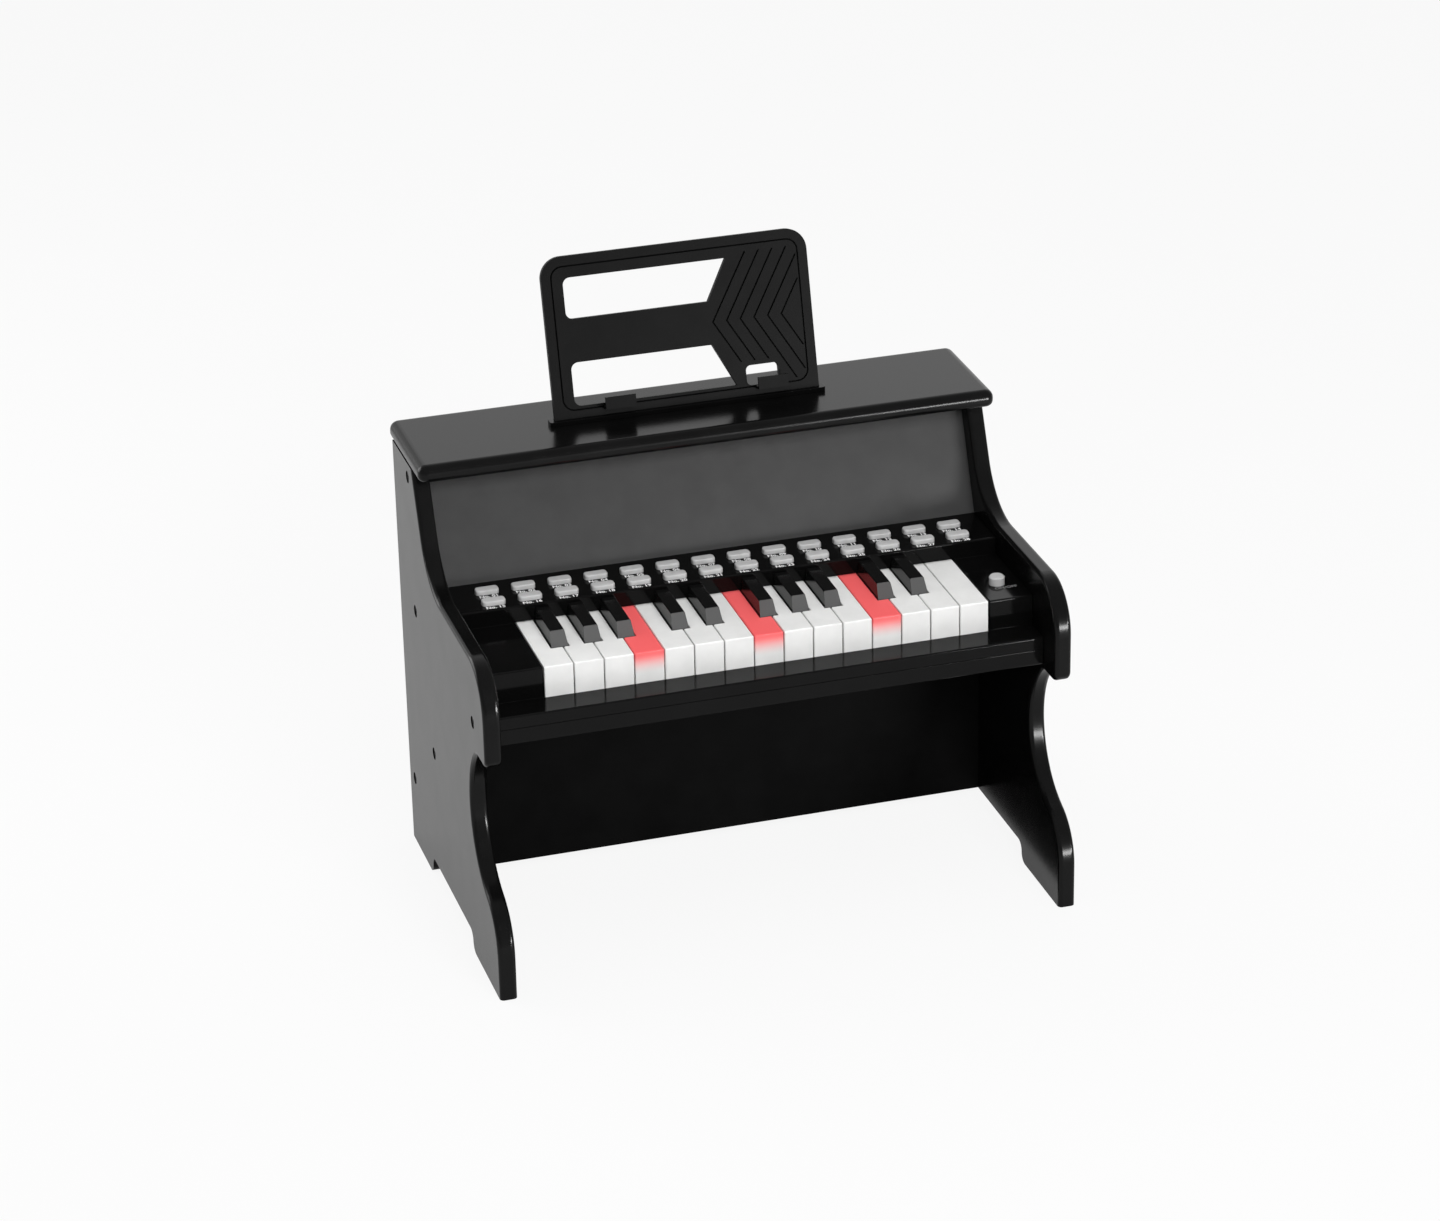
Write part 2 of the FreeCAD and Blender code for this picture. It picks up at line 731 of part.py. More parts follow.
# Lower shell of the module with the rod posts, board ribs, battery bay and speaker slots
base_blank = pad("base_blank", "YZ_Plane", [[
    (back(size("case_front_depth")), size("case_bottom")),
    (back(size("case_rear_depth")), size("case_bottom")),
    (back(size("case_rear_depth")), seam),
    (back(size("case_front_depth")), seam)]], -case_half, case_half * 2)
round_edges(base_blank, size("case_edge_radius"),
            lambda edge: runs_along_x(edge, back(size("case_front_depth")), size("case_bottom")))
round_edges(base_blank, size("seam_radius"), on_front_seam)
base_hollow = box("base_hollow", (-inner_half, inner_half),
                  (back(size("case_front_depth") - wall), back(size("case_rear_depth") + wall)),
                  (floor_top, seam + 1))
rooted = floor_top - 0.5
post_x = [key_left - 4, *[key_left + pitch * number for number in POST_GAPS], key_right + 4]
posts = [box(f"rod_post_{number}", (x - size("post_width") / 2, x + size("post_width") / 2),
             (pivot_y - size("post_depth") / 2, pivot_y + size("post_depth") / 2),
             (rooted, pivot_z + size("hub_radius") + 1)) for number, x in enumerate(post_x, start=1)]
rib_x = [key_left + 10, (key_left + key_right) / 2, key_right - 10]
key_board_rear = between_deck_and_keys("key_board_rear_share")
key_board_front = between_deck_and_keys("key_board_front_share")
ribs = [box(f"board_rib_{number}", (x - size("board_rib") / 2, x + size("board_rib") / 2),
            (back(key_board_front), back(key_board_rear)), (rooted, size("key_board_height")))
        for number, x in enumerate(rib_x, start=1)]
cell_step_x = size("cell_length") + size("cell_gap")
cell_step_y = size("cell_radius") * 2 + size("cell_gap")
bay_half_x = cell_step_x + size("cell_gap") / 2
bay_half_y = cell_step_y + size("cell_gap") / 2
battery_x = key_left + pitch * (POST_GAPS[1] + POST_GAPS[2]) / 2
speaker_x = key_left + pitch * POST_GAPS[0] / 2
bay_x = (battery_x - bay_half_x, battery_x + bay_half_x)
rear_row_y = back(size("rear_row_depth"))
bay_y = (rear_row_y - bay_half_y, rear_row_y + bay_half_y)
bay_wall = size("bay_wall")
cell_floor = size("case_bottom") + size("door_thickness")
bay_top = cell_floor + size("cell_radius") * 2
bay_block = box("bay_block", (bay_x[0] - bay_wall, bay_x[1] + bay_wall),
                (bay_y[0] - bay_wall, bay_y[1] + bay_wall), (rooted, bay_top))
bay_opening = box("bay_opening", bay_x, bay_y, (size("case_bottom") - 1, bay_top + 1))
slots = [box(f"speaker_slot_{number + 1}",
             (speaker_x - size("slot_length") / 2, speaker_x + size("slot_length") / 2),
             (rear_row_y + size("slot_pitch") * (number - (SPEAKER_SLOTS - 1) / 2) - size("slot_width") / 2,
              rear_row_y + size("slot_pitch") * (number - (SPEAKER_SLOTS - 1) / 2) + size("slot_width") / 2),
             (size("case_bottom") - 1, floor_top + 1)) for number in range(SPEAKER_SLOTS)]
rod_hole = cylinder("rod_hole", bore_radius, (key_left - 10, pivot_y, pivot_z),
                    key_right - key_left + 20, "X")
base_shell = cut("base_shell", base_blank, base_hollow)
nodes.append(cut("case_base", fuse("base_with_posts", base_shell, bay_block, *posts, *ribs),
                 bay_opening, rod_hole, *slots))
nodes.append(cylinder("key_pivot_rod", size("rod_radius"), (key_left - 6, pivot_y, pivot_z),
                      key_right - key_left + 12, "X"))

# Battery door and cells
door_gap = size("door_gap")
nodes.append(box("battery_door", (bay_x[0] + door_gap, bay_x[1] - door_gap),
                 (bay_y[0] + door_gap, bay_y[1] - door_gap), (size("case_bottom"), cell_floor)))
nodes.append(group("battery_cells", [
    cylinder(f"cell_{column}_{row}", size("cell_radius"),
             (battery_x + cell_step_x * column + size("cell_gap") / 2,
              rear_row_y + cell_step_y * (row - 0.5), cell_floor + size("cell_radius")),
             size("cell_length"), "X")
    for column in (-1, 0) for row in (0, 1)]))

# Speaker, facing down
speaker_point = (speaker_x, rear_row_y)
cone_height = (size("speaker_height") - size("speaker_rim")) / 2
speaker_frame = cylinder("speaker_frame", size("speaker_radius"), (*speaker_point, floor_top),
                         size("speaker_rim"))
speaker_cone = doc.addObject("Part::Cone", "speaker_cone")
speaker_cone.setExpression("Radius1", (size("speaker_radius") - size("speaker_rim") / 2).text)
speaker_cone.setExpression("Radius2", size("magnet_radius").text)
speaker_cone.setExpression("Height", cone_height.text)
place(speaker_cone, *speaker_point, floor_top + size("speaker_rim"))
magnet = cylinder("speaker_magnet", size("magnet_radius"),
                  (*speaker_point, floor_top + size("speaker_rim") + cone_height), cone_height)
nodes.append(fuse("speaker", speaker_frame, speaker_cone, magnet))

# Circuit boards, key contacts and the power switch
key_board_top = size("key_board_height") + size("board_thickness")
board_x = (key_left + 2, key_right - 2)
nodes.append(box("key_circuit_board", board_x, (back(key_board_front), back(key_board_rear)),
                 (size("key_board_height"), key_board_top)))
contact_y = back((key_board_front + key_board_rear) / 2)
nodes.append(box("key_contact_strip", board_x,
                 (contact_y - size("contact_width") / 2, contact_y + size("contact_width") / 2),
                 (key_board_top, key_board_top + size("contact_height"))))
button_board_half = button_pitch * BUTTON_COLUMNS / 2
nodes.append(box("button_circuit_board",
                 (size("button_centre") - button_board_half, size("button_centre") + button_board_half),
                 (back(deck_front - wall - 1), back(button_rows["rear"] - size("button_width"))),
                 (button_board_top - size("board_thickness"), button_board_top)))
power_bottom = key_top - wall - size("power_depth_below")
switch_half = size("switch_width") / 2
nodes.append(box("switch_body", (power_point[0] - switch_half, power_point[0] + switch_half),
                 (power_point[1] - switch_half, power_point[1] + switch_half),
                 (floor_top, power_bottom - size("power_travel") - size("power_gap"))))

# Power button with a bevelled top and a flange under the case
power_top = key_top + size("power_rise")
power_shaft = cylinder("power_shaft", size("power_radius"), (*power_point, power_bottom),
                       power_top - size("power_top_radius") - power_bottom)
power_crown = doc.addObject("Part::Cone", "power_crown")
power_crown.setExpression("Radius1", size("power_radius").text)
power_crown.setExpression("Radius2", (size("power_radius") - size("power_top_radius")).text)
power_crown.setExpression("Height", size("power_top_radius").text)
place(power_crown, *power_point, power_top - size("power_top_radius"))
power_flange = cylinder("power_flange", size("power_radius") + size("power_recess_margin"),
                        (*power_point, key_top - wall - size("power_gap") - size("flange_thickness")),
                        size("flange_thickness"))
nodes.append(fuse("power_button", power_shaft, power_crown, power_flange))

# Control buttons: each column holds a rear and a front cap
for column, x in enumerate(button_x, start=1):
    caps = []
    for row, depth in button_rows.items():
        name = f"{row}_button_{column:02d}"
        cap = pill(f"{name}_cap", x, depth, ZERO, button_bottom, deck + size("button_rise"))
        cap_top = (deck + size("button_rise")).value
        round_edges(cap, size("button_top_radius"), lambda edge: lies_at(edge, "z", cap_top))
        flange = pill(f"{name}_flange", x, depth, size("flange_margin"), button_bottom, button_flange_top)
        caps.append(fuse(name, cap, flange))
    nodes.append(group(f"button_pair_{column:02d}", caps))


# Keys

def hub(label, x, width):
    return cylinder(label, size("hub_radius"), (x - width / 2, pivot_y, pivot_z), width, "X")


def bore(label, x):
    return cylinder(label, bore_radius, (x - pitch, pivot_y, pivot_z), pitch * 2, "X")


black_x = {}
for gap_after, share, family in BLACK_KEYS:
    black_x[gap_after] = key_left + pitch * gap_after + pitch * size(f"{family}_spread_share") * share
tail_half = pitch * size("key_tail_share") / 2
black_half = pitch * size("black_share") / 2
slab_bottom = key_top - size("key_slab")
tail_y = back(size("key_tail_depth"))
behind_hub = pivot_y + size("hub_radius") + 1


def white_key(number):
    """A white key: a slab with a front lip, cut away beside the black keys and narrowed to a pivot tail."""
    name = f"white_key_{number:02d}"
    left = key_left + pitch * (number - 1) + size("key_gap") / 2
    right = key_left + pitch * number - size("key_gap") / 2
    middle = (left + right) / 2
    blank = pad(f"{name}_blank", "YZ_Plane", [[
        (back(key_front), size("key_front_bottom")),
        (back(key_front - size("key_front_wall")), size("key_front_bottom")),
        (back(key_front - size("key_front_wall")), slab_bottom),
        (pivot_y, slab_bottom),
        (pivot_y, key_top),
        (back(key_front), key_top)]], left, right - left)
    round_edges(blank, size("key_edge_radius"), on_key_rim)
    tools = [box(f"{name}_left_of_tail", (left - 1, middle - tail_half), (tail_y, behind_hub),
                 (slab_bottom - 1, key_top + 1)),
             box(f"{name}_right_of_tail", (middle + tail_half, right + 1), (tail_y, behind_hub),
                 (slab_bottom - 1, key_top + 1))]
    notch_y = (back(black_front + size("black_clearance")), behind_hub)
    notch_z = (slab_bottom - 1, key_top + 1)
    stop = tail_y + 0.5
    if number - 1 in black_x:
        edge_x = black_x[number - 1] + black_half + size("black_clearance")
        tools.append(box(f"{name}_left_notch", (left - 1, edge_x), (notch_y[0], stop), notch_z))
    if number in black_x:
        edge_x = black_x[number] - black_half - size("black_clearance")
        tools.append(box(f"{name}_right_notch", (edge_x, right + 1), (notch_y[0], stop), notch_z))
    body = cut(f"{name}_body", blank, fuse(f"{name}_notches", *tools))
    with_hub = fuse(f"{name}_with_hub", body, hub(f"{name}_hub", middle, tail_half * 2))
    return cut(name, with_hub, bore(f"{name}_bore", middle))


def on_key_rim(edge):
    """True for the upper and upright edges at the front of a white key."""
    front = back(key_front).value
    at_top = lies_at(edge, "z", key_top.value)
    at_front = lies_at(edge, "y", front)
    across_top = at_top and near(edge.BoundBox.XLength, 0)
    upright = at_front and near(edge.BoundBox.XLength, 0)
    return across_top or upright or (at_top and at_front)


def black_key(number, gap_after):
    """A black key: a tapered top over a straight body that runs back to its pivot tail."""
    name = f"black_key_{number:02d}"
    x = black_x[gap_after]
    level = key_top - size("black_clearance") / 2
    rear = back(deck_front + size("fascia_gap"))
    top_half = pitch * size("black_top_share") / 2
    front = back(black_front)
    top = key_top + size("black_height")
    top_front = back(black_front - size("black_nose"))
    block = frustum(f"{name}_block", (x - black_half, x + black_half, front, rear),
                    (x - top_half, x + top_half, top_front, rear), level - 1, top)
    cap = round_block(f"{name}_cap", block, size("black_edge_radius"),
                      lambda edge: lies_at(edge, "z", top.value) and not lies_at(edge, "y", rear.value))
    body_rear = back(size("key_tail_depth") + size("black_clearance") * 2)
    body_half = black_half - size("black_step")
    body = box(f"{name}_body", (x - body_half, x + body_half), (front + size("black_step"), body_rear),
               (slab_bottom + 1, level))
    tail = box(f"{name}_tail", (x - tail_half, x + tail_half), (body_rear - 1, pivot_y),
               (slab_bottom + 2, level - 1))
    with_hub = fuse(f"{name}_with_hub", cap, body, tail, hub(f"{name}_hub", x, tail_half * 2))
    return cut(name, with_hub, bore(f"{name}_bore", x))


nodes.extend(white_key(number) for number in range(1, WHITE_COUNT + 1))
nodes.extend(black_key(number, gap_after) for number, gap_after in enumerate(black_x, start=1))

# Music stand, drawn upright about its own foot and then leaned back
stand_half = size("stand_width") / 2
stand_thickness = size("stand_thickness")
stand_left = -stand_half
stand_loops = [rounded((stand_left, stand_half), (ZERO, size("stand_height")), size("stand_corner_radius"),
                       round_bottom=False)]
window_left = stand_left + size("window_margin")
window_short = stand_left + size("window_reach")
window_long = window_short + size("window_slant")
curve = size("window_radius")


def window(low, high, low_reach, high_reach):
    """A window with rounded corners on the left and a slanted end on the right."""
    return [(window_left + curve, low), (low_reach, low), (high_reach, high),
            (window_left + curve, high, window_left + curve, high - curve, curve),
            (window_left, high - curve),
            (window_left, low + curve, window_left + curve, low + curve, curve)]


stand_loops.append(window(size("window_upper_sill"), size("window_top"), window_short, window_long))
stand_loops.append(window(size("window_bottom"), size("window_lower_head"), window_long, window_short))
notch_x = stand_left + size("notch_left")
stand_loops.append(rounded((notch_x, notch_x + size("notch_length")),
                           (size("notch_bottom"), size("notch_top")), size("notch_radius")))
plate = pad("stand_plate", "XZ_Plane", stand_loops, -(stand_thickness / 2), stand_thickness)
groove_start = stand_thickness / 2 - size("groove_depth")
groove_length = size("groove_depth") + 1


def inset(distance):
    """The stand's outline moved inwards."""
    return rounded((stand_left + distance, stand_half - distance),
                   (distance, size("stand_height") - distance), size("stand_corner_radius") - distance)


rim = size("rim_offset")
grooves = [pad("rim_groove", "XZ_Plane", [inset(rim), inset(rim + size("groove_width"))],
               groove_start, groove_length)]
chevron_edge = stand_left + size("chevron_edge")
bend_height = size("chevron_height")
slant = size("chevron_slant")
for step in range(CHEVRON_COUNT):
    apex = stand_left + size("chevron_start") + size("chevron_pitch") * step
    side_step = size("groove_width") * root(slant * slant + 1)
    room = (chevron_edge - side_step - apex) / slant
    rise = least(size("chevron_top") - bend_height, room)
    low_end = size("chevron_bottom") if step < CHEVRON_COUNT / 2 else size("window_bottom")
    drop = least(bend_height - low_end, room)
    arms = [(apex, bend_height), (apex + drop * slant, bend_height - drop),
            (apex + drop * slant + side_step, bend_height - drop), (apex + side_step, bend_height),
            (apex + rise * slant + side_step, bend_height + rise), (apex + rise * slant, bend_height + rise)]
    grooves.append(pad(f"chevron_groove_{step + 1}", "XZ_Plane", [arms], groove_start, groove_length))
tabs = []
for name in ("tab_left", "tab_right"):
    tab_x = (stand_left + size(name), stand_left + size(name) + size("tab_length"))
    face = -(stand_thickness / 2)
    shelf_y = (face - size("tab_reach"), face + 0.5)
    lip_y = (shelf_y[0], shelf_y[0] + size("tab_thickness"))
    tab_low = size("tab_bottom")
    tabs.append(box(f"{name}_shelf", tab_x, shelf_y, (tab_low, tab_low + size("tab_thickness"))))
    tabs.append(box(f"{name}_lip", tab_x, lip_y, (tab_low, tab_low + size("tab_height"))))
stand = fuse("music_stand", cut("grooved_plate", plate, *grooves), *tabs)
stand_foot = FreeCAD.Vector(size("stand_centre").value, back(size("stand_depth")).value,
                            (lid_top + size("socket_floor")).value)
lean = FreeCAD.Rotation(FreeCAD.Vector(1, 0, 0), -size("stand_tilt").value)
stand.Placement = FreeCAD.Placement(stand_foot, lean)
nodes.append(stand)

# Socket strip on the top board, with a slanted slot for the stand
socket_x = size("stand_centre")
socket_y = back(size("stand_depth"))
socket_half_x = size("socket_length") / 2
socket_half_y = size("socket_width") / 2
socket_blank = pad("socket_blank", "XY_Plane", [rounded(
    (socket_x - socket_half_x, socket_x + socket_half_x),
    (socket_y - socket_half_y, socket_y + socket_half_y),
    size("socket_corner_radius"))], lid_top, size("socket_height"))
slot_gap = size("socket_clearance")
socket_slot = doc.addObject("Part::Box", "socket_slot")
socket_slot.setExpression("Length", (size("stand_width") + slot_gap * 2).text)
socket_slot.setExpression("Width", (stand_thickness + slot_gap * 2).text)
socket_slot.setExpression("Height", (size("socket_height") * 3).text)
slot_corner = FreeCAD.Vector((stand_left - slot_gap).value, -(stand_thickness / 2 + slot_gap).value,
                             -size("socket_seat").value)
socket_slot.Placement = FreeCAD.Placement(stand_foot + lean.multVec(slot_corner), lean)
nodes.append(cut("stand_socket", socket_blank, socket_slot))

# Check and write
doc.recompute()
for obj in doc.Objects:
    if "Invalid" in obj.State or "Error" in obj.State:
        raise RuntimeError(f"{obj.Label} did not compute: {obj.State}")
os.makedirs("parts", exist_ok=True)
for node in nodes:
    if node.Shape.isNull() or not node.Shape.isValid():
        raise RuntimeError(f"{node.Label} has no valid shape")
    node.Shape.exportStep(f"parts/{node.Label}.step")
print(f"wrote {len(nodes)} parts")
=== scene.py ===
import json

import bpy
from mathutils import Matrix, Vector


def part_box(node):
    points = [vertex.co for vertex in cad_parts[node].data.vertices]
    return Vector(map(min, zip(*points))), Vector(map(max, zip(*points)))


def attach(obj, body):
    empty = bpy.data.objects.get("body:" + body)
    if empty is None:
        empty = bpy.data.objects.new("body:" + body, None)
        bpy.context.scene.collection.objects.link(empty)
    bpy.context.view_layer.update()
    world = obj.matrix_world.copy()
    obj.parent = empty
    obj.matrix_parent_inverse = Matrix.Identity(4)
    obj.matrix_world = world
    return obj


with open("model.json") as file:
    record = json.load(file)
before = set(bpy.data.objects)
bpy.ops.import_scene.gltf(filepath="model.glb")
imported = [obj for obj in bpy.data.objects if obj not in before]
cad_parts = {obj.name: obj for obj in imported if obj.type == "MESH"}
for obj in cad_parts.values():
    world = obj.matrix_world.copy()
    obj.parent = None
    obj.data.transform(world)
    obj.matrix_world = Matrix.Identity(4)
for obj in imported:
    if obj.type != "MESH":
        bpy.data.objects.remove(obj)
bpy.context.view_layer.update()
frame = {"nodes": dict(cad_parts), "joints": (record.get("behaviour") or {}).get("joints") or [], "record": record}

nodes = frame["nodes"]


# Noise clouds: their layers, and the part over which colour and roughness change
CLOUD_DETAIL = 3.0
CLOUD_LOW = 0.3
CLOUD_HIGH = 0.7


# Shader helpers: each adds nodes to a tree and returns the output to link on

def new_material(name):
    """A material, its tree and its shader."""
    material = bpy.data.materials.new(name)
    material.use_nodes = True
    tree = material.node_tree
    return material, tree, tree.nodes["Principled BSDF"]


def noise(tree, scale):
    """A cloud of values fixed to the piece."""
    coordinate = tree.nodes.new("ShaderNodeTexCoord")
    texture = tree.nodes.new("ShaderNodeTexNoise")
    texture.inputs["Scale"].default_value = scale
    texture.inputs["Detail"].default_value = CLOUD_DETAIL
    tree.links.new(coordinate.outputs["Object"], texture.inputs["Vector"])
    return texture.outputs["Fac"]


def along(tree, kind, direction):
    """How far the place or the normal of a surface goes in a direction."""
    coordinate = tree.nodes.new("ShaderNodeTexCoord")
    product = tree.nodes.new("ShaderNodeVectorMath")
    product.operation = "DOT_PRODUCT"
    product.inputs[1].default_value = direction
    tree.links.new(coordinate.outputs[kind], product.inputs[0])
    return product.outputs["Value"]


def ramp(tree, source, start, end, low, high):
    """A value that goes smoothly from low to high while the source goes from start to end."""
    node = tree.nodes.new("ShaderNodeMapRange")
    node.interpolation_type = "SMOOTHSTEP"
    node.inputs["From Min"].default_value = start
    node.inputs["From Max"].default_value = end
    node.inputs["To Min"].default_value = low
    node.inputs["To Max"].default_value = high
    tree.links.new(source, node.inputs["Value"])
    return node.outputs["Result"]


def combine(tree, operation, first, second):
    """One value made from two."""
    node = tree.nodes.new("ShaderNodeMath")
    node.operation = operation
    tree.links.new(first, node.inputs[0])
    tree.links.new(second, node.inputs[1])
    return node.outputs["Value"]


def tint(tree, source, dark, light):
    """A colour that follows the source from dark to light."""
    node = tree.nodes.new("ShaderNodeValToRGB")
    node.color_ramp.elements[0].position = CLOUD_LOW
    node.color_ramp.elements[0].color = (*dark, 1)
    node.color_ramp.elements[1].position = CLOUD_HIGH
    node.color_ramp.elements[1].color = (*light, 1)
    tree.links.new(source, node.inputs["Fac"])
    return node.outputs["Color"]


def cover(tree, share, under, colour):
    """A colour laid over another by a share."""
    node = tree.nodes.new("ShaderNodeMix")
    node.data_type = "RGBA"
    node.inputs["B"].default_value = (*colour, 1)
    tree.links.new(share, node.inputs["Factor"])
    tree.links.new(under, node.inputs["A"])
    return node.outputs["Result"]


# Colours and finishes: roughness as its lowest and highest value, lengths in metres

def greys(dark, light):
    """A dark and a light grey."""
    return (dark, dark, dark), (light, light, light)


BOARD = greys(0.0026, 0.0036)
# A lighter grey for the fall panel's board: painted light standing in for the light it reflects
SATIN_PAINTED_LIGHTER = greys(0.036, 0.042)
CASE = greys(0.0022, 0.0030)
STAND = greys(0.0045, 0.006)
# Colour of the painted shade at the bottom of the stand's grooves
GROOVE_PAINTED_SHADE = (0.0006, 0.0006, 0.0006)
STAND_GLOSS = 0.05
STAND_ROUGH = 0.43
GROOVE_ROUGH = 0.80
WHITE_KEY = ((0.80, 0.80, 0.79), (0.86, 0.86, 0.85))
WHITE_KEY_ROUGH = (0.18, 0.24)
CORAL = (0.86, 0.125, 0.13)
# Black keys: the black, and a lighter grey painted on the faces turned to the front as painted light
BLACK_KEY_AND_PAINTED_FRONT_LIGHT = greys(0.005, 0.085)
BLACK_KEY_ROUGH = (0.16, 0.20)
BLACK_KEY_GLOSS = 0.16
BUTTON = greys(0.46, 0.52)
POWER = greys(0.42, 0.48)
BOARD_GREEN = ((0.02, 0.10, 0.04), (0.03, 0.13, 0.05))

# Relief: how much finer it is than the clouds, and how strongly it shows
RELIEF_FINENESS = 12
RELIEF_STRENGTH = 0.25

# Coral light: how far below the key's top it is full and gone, and its strength
LIGHT_FULL = 0.001
LIGHT_GONE = 0.016
LIGHT_STRENGTH = 0.12

# Painted shade in the grooves of the stand: the depths where it begins and is darkest, and how squarely the shaded
# surfaces face out
GROOVE_BEGIN = 0.0002
GROOVE_DARKEST = 0.0006
GROOVE_FACING = (0.80, 0.95)

# Height of the band at the top of the stand, above its tabs, where its face is found
FACE_BAND = 0.05


# Materials

def surface(name, colours, rough, scale, gloss=0.5, relief=0.0, metal=0.0):
    """A surface with a slight unevenness of colour, roughness and relief."""
    material, tree, shader = new_material(name)
    cloud = noise(tree, scale)
    tree.links.new(tint(tree, cloud, *colours), shader.inputs["Base Color"])
    tree.links.new(ramp(tree, cloud, CLOUD_LOW, CLOUD_HIGH, *rough), shader.inputs["Roughness"])
    shader.inputs["Specular IOR Level"].default_value = gloss
    shader.inputs["Metallic"].default_value = metal
    if relief:
        bump = tree.nodes.new("ShaderNodeBump")
        bump.inputs["Strength"].default_value = RELIEF_STRENGTH
        bump.inputs["Distance"].default_value = relief
        tree.links.new(noise(tree, scale * RELIEF_FINENESS), bump.inputs["Height"])
        tree.links.new(bump.outputs["Normal"], shader.inputs["Normal"])
    return material


def soft_edged(material, radius):
    """The same material with edges that catch the light."""
    tree = material.node_tree
    bevel = tree.nodes.new("ShaderNodeBevel")
    bevel.inputs["Radius"].default_value = radius
    tree.links.new(bevel.outputs["Normal"], tree.nodes["Principled BSDF"].inputs["Normal"])
    return material


def lit_key(name):
    """A white key with a coral light that fades out down its front."""
    material, tree, shader = new_material(name)
    cloud = noise(tree, 60)
    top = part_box("white_key_01")[1].z
    light = ramp(tree, along(tree, "Object", (0, 0, 1)), top - LIGHT_GONE, top - LIGHT_FULL, 0, 1)
    colour = cover(tree, light, tint(tree, cloud, *WHITE_KEY), CORAL)
    tree.links.new(colour, shader.inputs["Base Color"])
    tree.links.new(colour, shader.inputs["Emission Color"])
    tree.links.new(ramp(tree, light, 0, 1, 0, LIGHT_STRENGTH), shader.inputs["Emission Strength"])
    rough = ramp(tree, cloud, CLOUD_LOW, CLOUD_HIGH, *WHITE_KEY_ROUGH)
    tree.links.new(rough, shader.inputs["Roughness"])
    return material


def black_key(name):
    """Gloss black on the top and sides of a black key, with painted light on its sloping front: the faces turned
    to the front are tinted a lighter grey.
    """
    material, tree, shader = new_material(name)
    # Painted light: the more a face turns to the front, the lighter its grey
    front = along(tree, "Normal", (0, -1, 0))
    rough = ramp(tree, noise(tree, 80), CLOUD_LOW, CLOUD_HIGH, *BLACK_KEY_ROUGH)
    tree.links.new(tint(tree, front, *BLACK_KEY_AND_PAINTED_FRONT_LIGHT), shader.inputs["Base Color"])
    tree.links.new(rough, shader.inputs["Roughness"])
    shader.inputs["Specular IOR Level"].default_value = BLACK_KEY_GLOSS
    return material


def stand_with_painted_groove_shade(name):
    """Matte black plastic with painted shade at the bottom of the grooves in the leaning face: darker and rougher
    there.
    """
    material, tree, shader = new_material(name)
    lift = next(joint["axis"] for joint in frame["joints"] if joint["child"] == "music_stand")
    outward = Vector((0, -lift[2], lift[1]))
    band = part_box("music_stand")[1].z - FACE_BAND
    corners = [vertex.co for vertex in nodes["music_stand"].data.vertices]
    face = max(corner.dot(outward) for corner in corners if corner.z > band)
    sunk = ramp(tree, along(tree, "Object", outward), face - GROOVE_DARKEST, face - GROOVE_BEGIN, 1, 0)
    facing = ramp(tree, along(tree, "Normal", outward), *GROOVE_FACING, 0, 1)
    # Painted shade: the sunk surfaces that face out get a darker colour
    painted_groove_shade = combine(tree, "MINIMUM", sunk, facing)
    colour = cover(tree, painted_groove_shade, tint(tree, noise(tree, 60), *STAND), GROOVE_PAINTED_SHADE)
    tree.links.new(colour, shader.inputs["Base Color"])
    tree.links.new(ramp(tree, painted_groove_shade, 0, 1, STAND_ROUGH, GROOVE_ROUGH), shader.inputs["Roughness"])
    shader.inputs["Specular IOR Level"].default_value = STAND_GLOSS
    return material


MATERIALS = {
    "cabinet_board": surface("cabinet_board", BOARD, (0.19, 0.21), 40, gloss=0.15, relief=0.00002),
    "case_plastic": soft_edged(surface("case_plastic", CASE, (0.10, 0.13), 40, gloss=0.13), 0.0007),
    "stand_plastic": surface("stand_plastic", STAND, (0.40, 0.46), 60, gloss=STAND_GLOSS, relief=0.00003),
    "bolt_steel": surface("bolt_steel", greys(0.01, 0.02), (0.35, 0.50), 300, metal=0.6),
    "rod_steel": surface("rod_steel", greys(0.45, 0.55), (0.25, 0.35), 300, metal=1.0),
    "contact_rubber": surface("contact_rubber", greys(0.30, 0.36), (0.7, 0.8), 200),
    "board_green": surface("board_green", BOARD_GREEN, (0.4, 0.5), 90),
    "speaker_metal": surface("speaker_metal", greys(0.06, 0.09), (0.4, 0.5), 120, metal=0.8),
    "cell_metal": surface("cell_metal", greys(0.20, 0.28), (0.3, 0.4), 150, metal=0.7),
    "power_plastic": surface("power_plastic", POWER, (0.35, 0.45), 200),
    "white_key": surface("white_key", WHITE_KEY, WHITE_KEY_ROUGH, 60),
    "black_key": black_key("black_key"),
    "button_plastic": surface("button_plastic", BUTTON, (0.40, 0.50), 200),
}

# Nodes that look different from the rest of their material slot
LIT_KEYS = ("white_key_04", "white_key_08", "white_key_12")
OWN_MATERIALS = dict.fromkeys(LIT_KEYS, lit_key("lit_key"))
OWN_MATERIALS["knee_panel"] = surface("dull_board", BOARD, (0.42, 0.46), 40, gloss=0.04, relief=0.00003)
# The fall panel: satin gloss and roughness as its finish, and a lighter grey than the other boards as painted
# light
OWN_MATERIALS["fall_panel"] = surface("satin_board_painted_lighter", SATIN_PAINTED_LIGHTER, (0.36, 0.38), 60, gloss=0.25, relief=0.00004)
OWN_MATERIALS["music_stand"] = stand_with_painted_groove_shade("stand_with_painted_groove_shade")
OWN_MATERIALS["stand_socket"] = MATERIALS["case_plastic"]

for entry in frame["record"]["subparts"]:
    materials = nodes[entry["node"]].data.materials
    materials.clear()
    materials.append(OWN_MATERIALS.get(entry["node"], MATERIALS[entry["material_slot"]]))


# Printed marks on the module: a plain number in front of each button, and the power mark

